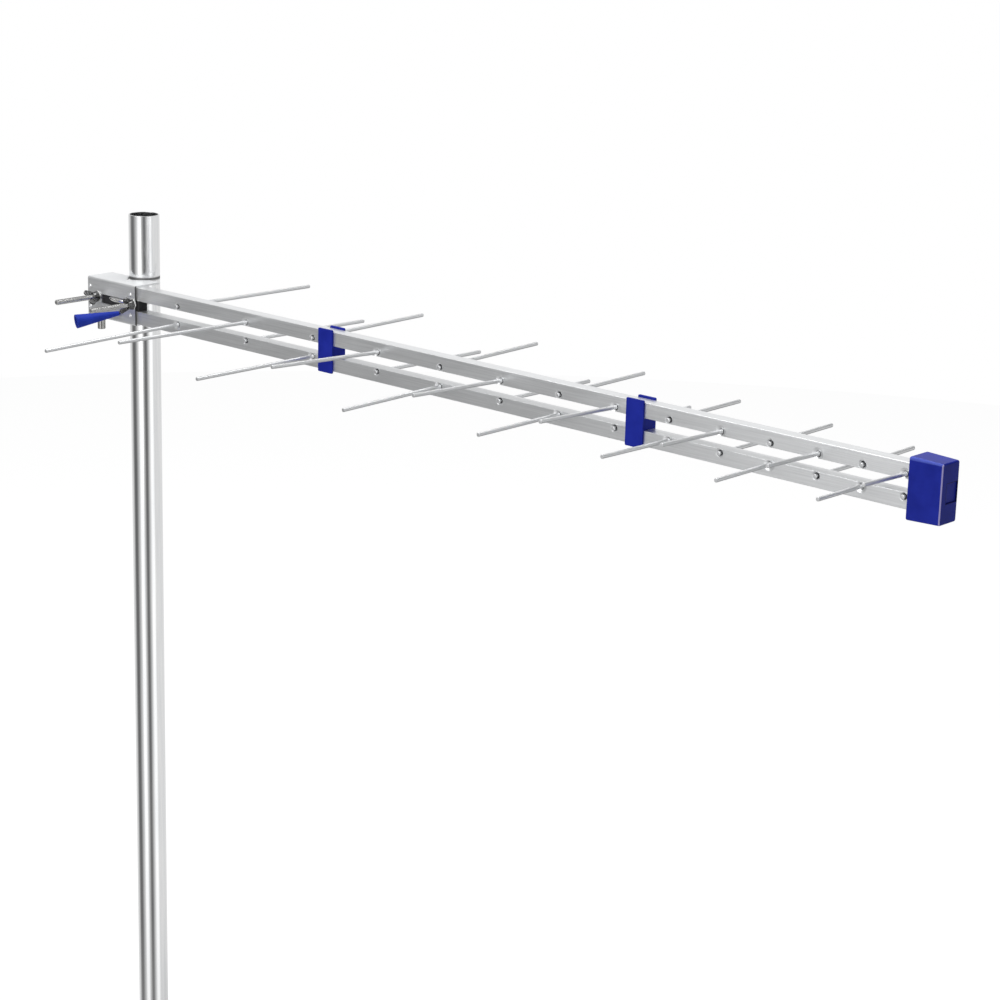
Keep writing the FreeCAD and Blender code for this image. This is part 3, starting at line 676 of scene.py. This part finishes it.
def u_bolt():
    """Bent round bar with a thread on each leg."""
    low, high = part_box("u_bolt")
    leg_x = high.x - BOLT_R
    z = (low.z + high.z) / 2
    bend_y = high.y - leg_x - BOLT_R
    thread_length, chamfer, run_out = 52.0 * MM, 0.6 * MM, 0.8 * MM
    core = BOLT_R - THREAD_DEPTH
    tip_r = core * 0.8
    clear_selection()
    bpy.ops.mesh.primitive_circle_add(vertices=32, radius=tip_r, location=(-leg_x, low.y, z),
                                      rotation=(math.radians(90), 0, 0))
    piece = bpy.context.object
    settle(piece)
    make_active(piece)
    bpy.ops.object.mode_set(mode="EDIT")
    bpy.ops.mesh.select_all(action="SELECT")
    bpy.ops.mesh.edge_face_add()
    bpy.ops.mesh.select_mode(type="EDGE")
    bpy.ops.mesh.select_all(action="SELECT")
    steps = [(chamfer, core / tip_r), (thread_length - chamfer, 1.0), (run_out, BOLT_R / core),
             (bend_y - low.y - thread_length - run_out, 1.0)]
    at = Vector((-leg_x, low.y, z))
    for run, grow in steps:
        at.y += run
        bpy.ops.mesh.extrude_region_move(TRANSFORM_OT_translate={"value": (0, run, 0)})
        bpy.ops.transform.resize(value=(grow, 1, grow), center_override=at)
    bpy.ops.mesh.spin(steps=36, angle=-math.pi, center=(0, bend_y, z), axis=(0, 0, 1), use_auto_merge=False)
    at = Vector((leg_x, bend_y, z))
    for run, grow in reversed(steps):
        at.y -= run
        bpy.ops.mesh.extrude_region_move(TRANSFORM_OT_translate={"value": (0, -run, 0)})
        bpy.ops.transform.resize(value=(1 / grow, 1, 1 / grow), center_override=at)
    bpy.ops.mesh.select_all(action="SELECT")
    bpy.ops.mesh.remove_doubles(threshold=0.001 * MM)
    bpy.ops.object.mode_set(mode="OBJECT")
    outward(piece)
    ridges = [thread(Vector((x, low.y + 0.4 * MM, z)), TO_BACK, BOLT_R, THREAD_PITCH, thread_length, THREAD_DEPTH)
              for x in (-leg_x, leg_x)]
    piece = join([piece] + ridges)
    smooth(piece, 40.0)
    place(piece, "u_bolt_rod", "u_bolt", bolt_steel, "u_bolt")


def washer(name):
    """Flat ring with rounded edges."""
    low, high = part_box(name)
    outer = (high.x - low.x) / 2
    thick = high.y - low.y
    round_off = 0.25 * MM
    inner = BOLT_R + 0.2 * MM
    rings = [(round_off, outer), (thick - round_off, outer), (thick, outer - round_off), (thick, inner + round_off),
             (thick - round_off, inner), (round_off, inner), (0.0, inner + round_off), (0.0, outer - round_off),
             (round_off, outer)]
    at = (low + high) / 2
    piece = turned(rings, Vector((at.x, high.y, at.z)), -TO_BACK, closed=True)
    smooth(piece, 50.0)
    place(piece, name + "_ring", "antenna", bolt_steel, name)


def wing_nut(name, turn):
    """Cast nut: a tapered hub and two ears grown together, with its thread hole open."""
    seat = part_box(name)[1].y
    at = middle(name.replace("wing_nut", "washer"))
    hub_r, hub_top_r, hub_height = 6.0 * MM, 4.8 * MM, 6.5 * MM
    reach, rise, lobe, thick = 6.6 * MM, 10.0 * MM, 3.7 * MM, 2.2 * MM
    arm_inset = 0.6 * MM
    hub = turned([(0.0, hub_r), (hub_height, hub_top_r)], ORIGIN, UP, segments=64)
    parts = []
    for side in (-1, 1):
        clear_selection()
        bpy.ops.mesh.primitive_cylinder_add(vertices=48, radius=lobe, depth=thick,
                                            location=(side * reach, 0, rise), rotation=(math.radians(90), 0, 0))
        ear = bpy.context.object
        settle(ear)
        out, up = lobe * 0.8, lobe * 0.6
        arm = block(Vector((-0.5, -0.5, -0.5)), Vector((0.5, 0.5, 0.5)))
        corners = {(-1, -1): (BOLT_R, arm_inset), (1, -1): (hub_r - arm_inset, arm_inset),
                   (1, 1): (reach + out, rise - up), (-1, 1): (reach - out, rise + up)}
        for vertex in arm.data.vertices:
            u, v = corners[(int(math.copysign(1, vertex.co.x)), int(math.copysign(1, vertex.co.z)))]
            vertex.co = Vector((side * u, math.copysign(thick / 2, vertex.co.y), v))
        outward(arm)
        parts += [ear, arm]
    piece = hub
    for part in parts:
        combine(piece, part, "UNION")
    apply_modifier(piece, "REMESH", mode="VOXEL", voxel_size=0.28 * MM, adaptivity=0.0)
    apply_modifier(piece, "SMOOTH", factor=0.5, iterations=6)
    bore_r, clear = BOLT_R + 0.05 * MM, 2 * MM
    bore = turned([(-clear, bore_r), (hub_height + clear, bore_r)], ORIGIN, UP)
    combine(piece, bore, "DIFFERENCE")
    piece.matrix_world = (Matrix.Translation((at.x, seat, at.z)) @ Matrix.Rotation(math.radians(90), 4, "X")
                          @ Matrix.Rotation(math.radians(-turn), 4, "Z"))
    settle(piece)
    smooth(piece, 60.0)
    place(piece, name + "_casting", name, nut_metal_painted_shade, name)


# Cable connector and its boot

def connector_body():
    """Threaded barrel with a shoulder, a flange inside the boom and a post to the feeder."""
    low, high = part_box("connector_body")
    at = middle("connector_body")
    radius, bore, shank_r, flange_r, post_r, pin_r = 4.7 * MM, 3.9 * MM, 5.1 * MM, 5.7 * MM, 2.6 * MM, 0.4 * MM
    bore_depth, flange_thick, edge = 10 * MM, 1.2 * MM, 0.3 * MM
    depth, pitch, run_out = 0.2 * MM, 0.8 * MM, 0.8 * MM
    core = radius - depth
    shoulder_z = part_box("clamp_bracket")[0].z - 0.6 * MM - low.z
    inside_z = LOWER_LOW.z + BOOM_WALL - low.z
    rings = [(bore_depth, pin_r), (bore_depth, bore), (edge, bore), (0.0, bore + edge), (0.0, core - 0.2 * MM),
             (0.4 * MM, core), (shoulder_z - run_out, core), (shoulder_z - run_out, shank_r), (inside_z, shank_r),
             (inside_z, flange_r), (inside_z + flange_thick, flange_r), (inside_z + flange_thick, post_r),
             (high.z - low.z, post_r)]
    piece = turned(rings, Vector((at.x, at.y, low.z)), UP)
    ridge = thread(Vector((at.x, at.y, low.z + edge)), UP, radius, pitch, shoulder_z - 1.5 * MM, depth)
    piece = join([piece, ridge])
    smooth(piece, 40.0)
    place(piece, "connector_barrel", "antenna", connector_nickel, "connector_body")


def connector_boot():
    """Rubber cone with a short neck, its mouth turned to the rear and a little down."""
    mouth, neck, wall, length = 8.0 * MM, 2.8 * MM, 1.4 * MM, 50.0 * MM
    taper, edge, lip = length - 3 * MM, 0.3 * MM, 0.35 * MM
    inner = (0.25 * MM, mouth - wall)
    rings = [inner, (0.0, mouth - wall + edge), (0.0, mouth - lip), (lip, mouth), (taper, neck),
             (length - edge, neck), (length, neck - edge), (length, neck - wall), (taper, neck - wall), inner]
    turn, drop = math.radians(25.0), math.radians(8.0)
    along = Vector((math.sin(turn) * math.cos(drop), math.cos(turn) * math.cos(drop), math.sin(drop)))
    neck_end = Vector((8.0 * MM, WEB_NEAR - 1.25 * MM, LOWER_LOW.z + 9.0 * MM))
    piece = turned(rings, neck_end - along * length, along, segments=64, closed=True)
    smooth(piece, 50.0)
    place(piece, "rubber_boot", "antenna", blue_rubber, "connector_boot")


def inner_pieces():
    """Materials for the hidden pieces, which keep their CAD shape."""
    finishes = {"connector_insulator": white_plastic, "feed_coax": cable_jacket,
                "feed_lug": connector_nickel, "feed_screw": bolt_steel}
    for name, material in finishes.items():
        mesh = frame["nodes"][name].data
        mesh.materials.clear()
        mesh.materials.append(material)


mast_tube()
boom("lower_boom")
boom("upper_boom")
for dipole in DIPOLES:
    rod(dipole + "_near_rod")
    rod(dipole + "_far_rod")
spacer("spacer_rear")
spacer("spacer_front")
front_cap()
clamp_bracket()
bracket_rivets()
clamp_block()
u_bolt()
for side, turn in (("left", 40.0), ("right", 115.0)):
    washer("washer_" + side)
    wing_nut("wing_nut_" + side, turn)
connector_body()
connector_boot()
inner_pieces()


# Floor, world, lights and camera

def floor():
    """Round floor, white to the camera, dull to the lamps and left out of the metal's reflections."""
    clear_selection()
    bpy.ops.mesh.primitive_circle_add(vertices=128, radius=4.0, fill_type="NGON", location=(0.5, 0, 0))
    piece = bpy.context.object
    piece.name = "studio_floor"
    settle(piece)
    material = bpy.data.materials.new("studio_floor_white")
    material.use_nodes = True
    tree = material.node_tree
    tree.nodes.clear()
    diffuse = node(tree, "ShaderNodeBsdfDiffuse", Color=(0.8, 0.8, 0.8, 1))
    white = node(tree, "ShaderNodeEmission", Color=(1, 1, 1, 1), Strength=1.15)
    clear = tree.nodes.new("ShaderNodeBsdfTransparent")
    path = tree.nodes.new("ShaderNodeLightPath")
    seen = node(tree, "ShaderNodeMixShader")
    share = node(tree, "ShaderNodeMath")
    share.operation = "MULTIPLY"
    share.inputs[1].default_value = 0.8
    mirrored = node(tree, "ShaderNodeMixShader")
    output = tree.nodes.new("ShaderNodeOutputMaterial")
    links = tree.links
    links.new(path.outputs["Is Camera Ray"], share.inputs[0])
    links.new(share.outputs["Value"], seen.inputs["Fac"])
    links.new(diffuse.outputs["BSDF"], seen.inputs[1])
    links.new(white.outputs["Emission"], seen.inputs[2])
    links.new(path.outputs["Is Glossy Ray"], mirrored.inputs["Fac"])
    links.new(seen.outputs["Shader"], mirrored.inputs[1])
    links.new(clear.outputs["BSDF"], mirrored.inputs[2])
    links.new(mirrored.outputs["Shader"], output.inputs["Surface"])
    piece.data.materials.append(material)


# What the metal mirrors round the compass: a bright wall with two dark flags and two strip lamps before it.
# Each panel is (from, to, soft edge, level) in degrees.
WALL = 0.8
FLAG = 0.15
STRIP = 1.2
CEILING = 0.92
CEILING_FLAG = 0.10
SCREEN = 0.38
STUDIO_PANELS = [(-145, -125, 30, FLAG), (-90, -70, 5, STRIP), (-45, -35, 20, FLAG), (-5, 10, 10, STRIP)]


def panel_stops(panels):
    """Ramp stops round the compass for the wall and its soft-edged panels."""
    stops = [(-180, WALL)]
    for start, end, edge, level in panels:
        stops += [(start - edge, WALL), (start, level), (end, level), (end + edge, WALL)]
    stops.append((180, WALL))
    return [((angle + 180) / 360, (level, level, level)) for angle, level in stops]


def studio(tree, x, y, z):
    """Light that the metal mirrors, by direction: the ring of panels, the ceiling, a screen and the ground."""
    compass = calculated(tree, "ARCTAN2", y, x)
    ring = ramp(tree, between(tree, compass, -math.pi, math.pi), panel_stops(STUDIO_PANELS))
    # Bright ceiling, dark where it is steep and behind and where it is ahead and across
    corner = calculated(tree, "MULTIPLY", between(tree, y, 0.64, 0.80, To_Min=0.5), between(tree, z, 0.36, 0.56))
    wing = calculated(tree, "MULTIPLY", between(tree, x, -0.1, 0.3), between(tree, y, 0.70, 0.82))
    ceiling = blended(tree, calculated(tree, "MAXIMUM", corner, wing), (CEILING,) * 3, (CEILING_FLAG,) * 3)
    sky = blended(tree, between(tree, z, -0.05, 0.12), ring, ceiling)
    # Grey screen in front, above the mast's part of the ring
    screen = calculated(tree, "MULTIPLY", between(tree, z, -0.15, -0.11), between(tree, y, 0.0, -0.4))
    front = blended(tree, screen, sky, (SCREEN,) * 3)
    # Ground, darker to the back and bright at the side behind the mast
    back = between(tree, y, 0.64, 0.80, To_Min=0.45, To_Max=0.08)
    side = node(tree, "ShaderNodeMapRange", From_Min=-0.88, From_Max=-0.62, To_Min=0.9)
    tree.links.new(x, side.inputs["Value"])
    tree.links.new(back, side.inputs["To Max"])
    return blended(tree, between(tree, z, -0.42, -0.58), front, side.outputs["Result"])


def world():
    """White to the camera, the drawn studio to glossy rays and a soft wash from the front to all others."""
    made = bpy.data.worlds.new("studio")
    bpy.context.scene.world = made
    made.use_nodes = True
    tree = made.node_tree
    tree.nodes.clear()
    links = tree.links
    x, y, z = axes(tree, "Generated")
    mirrored = node(tree, "ShaderNodeBackground", Strength=1.0)
    links.new(studio(tree, x, y, z), mirrored.inputs["Color"])
    soft = node(tree, "ShaderNodeBackground", Color=(1, 1, 1, 1))
    links.new(between(tree, y, -1.0, 1.0, To_Min=0.42, To_Max=0.06), soft.inputs["Strength"])
    seen = node(tree, "ShaderNodeBackground", Color=(1, 1, 1, 1), Strength=1.0)
    path = tree.nodes.new("ShaderNodeLightPath")
    glossy = tree.nodes.new("ShaderNodeMixShader")
    camera = tree.nodes.new("ShaderNodeMixShader")
    output = tree.nodes.new("ShaderNodeOutputWorld")
    straight = calculated(tree, "MAXIMUM", path.outputs["Is Camera Ray"], path.outputs["Is Transmission Ray"])
    links.new(path.outputs["Is Glossy Ray"], glossy.inputs["Fac"])
    links.new(soft.outputs["Background"], glossy.inputs[1])
    links.new(mirrored.outputs["Background"], glossy.inputs[2])
    links.new(straight, camera.inputs["Fac"])
    links.new(glossy.outputs["Shader"], camera.inputs[1])
    links.new(seen.outputs["Background"], camera.inputs[2])
    links.new(camera.outputs["Shader"], output.inputs["Surface"])


def lamp(name, at, aim, size, watts):
    """Soft rectangular lamp aimed at a point."""
    data = bpy.data.lights.new(name, "AREA")
    data.shape = "RECTANGLE"
    data.size, data.size_y = size
    data.energy = watts
    made = bpy.data.objects.new(name, data)
    bpy.context.scene.collection.objects.link(made)
    made.location = at
    made.rotation_euler = (aim - at).to_track_quat("-Z", "Y").to_euler()


def lights():
    """Two large softboxes and a small fill for the front half."""
    aim = Vector((0.5, 0, 0.9))
    lamp("overhead_softbox", Vector((0.3, 0.2, 3.4)), aim, (3.0, 2.0), 77.0)
    lamp("front_softbox", Vector((0.5, -2.8, 1.7)), aim, (2.6, 1.7), 33.0)
    lamp("front_fill", Vector((0.4, -1.04, 0.62)), Vector((1.0, 0, 0.9)), (0.5, 0.4), 0.32)


# Camera fitted to the photograph
CAMERA_AT = Vector((2.2493, -1.8474, 1.4682))
CAMERA_AZIMUTH = -42.31488
CAMERA_FALL = 15.48347
CAMERA_ROLL = 1.49714
CAMERA_LENS = 91.85
CAMERA_SHIFT = (-0.00545, 0.0002)


def camera():
    """Camera from its fitted place, direction and roll."""
    azimuth, fall, roll = (math.radians(a) for a in (CAMERA_AZIMUTH, CAMERA_FALL, CAMERA_ROLL))
    forward = Vector((math.sin(azimuth) * math.cos(fall), math.cos(azimuth) * math.cos(fall), -math.sin(fall)))
    level = forward.cross(UP).normalized()
    over = level.cross(forward)
    right = level * math.cos(roll) + over * math.sin(roll)
    top = over * math.cos(roll) - level * math.sin(roll)
    data = bpy.data.cameras.new("view")
    data.sensor_width = 36.0
    data.lens = CAMERA_LENS
    data.shift_x, data.shift_y = CAMERA_SHIFT
    data.clip_start = 0.05
    made = bpy.data.objects.new("view", data)
    bpy.context.scene.collection.objects.link(made)
    turn = Matrix((right, top, -forward)).transposed()
    made.matrix_world = Matrix.Translation(CAMERA_AT) @ turn.to_4x4()
    bpy.context.scene.camera = made


floor()
world()
lights()
camera()
bpy.context.scene.view_settings.view_transform = "Standard"
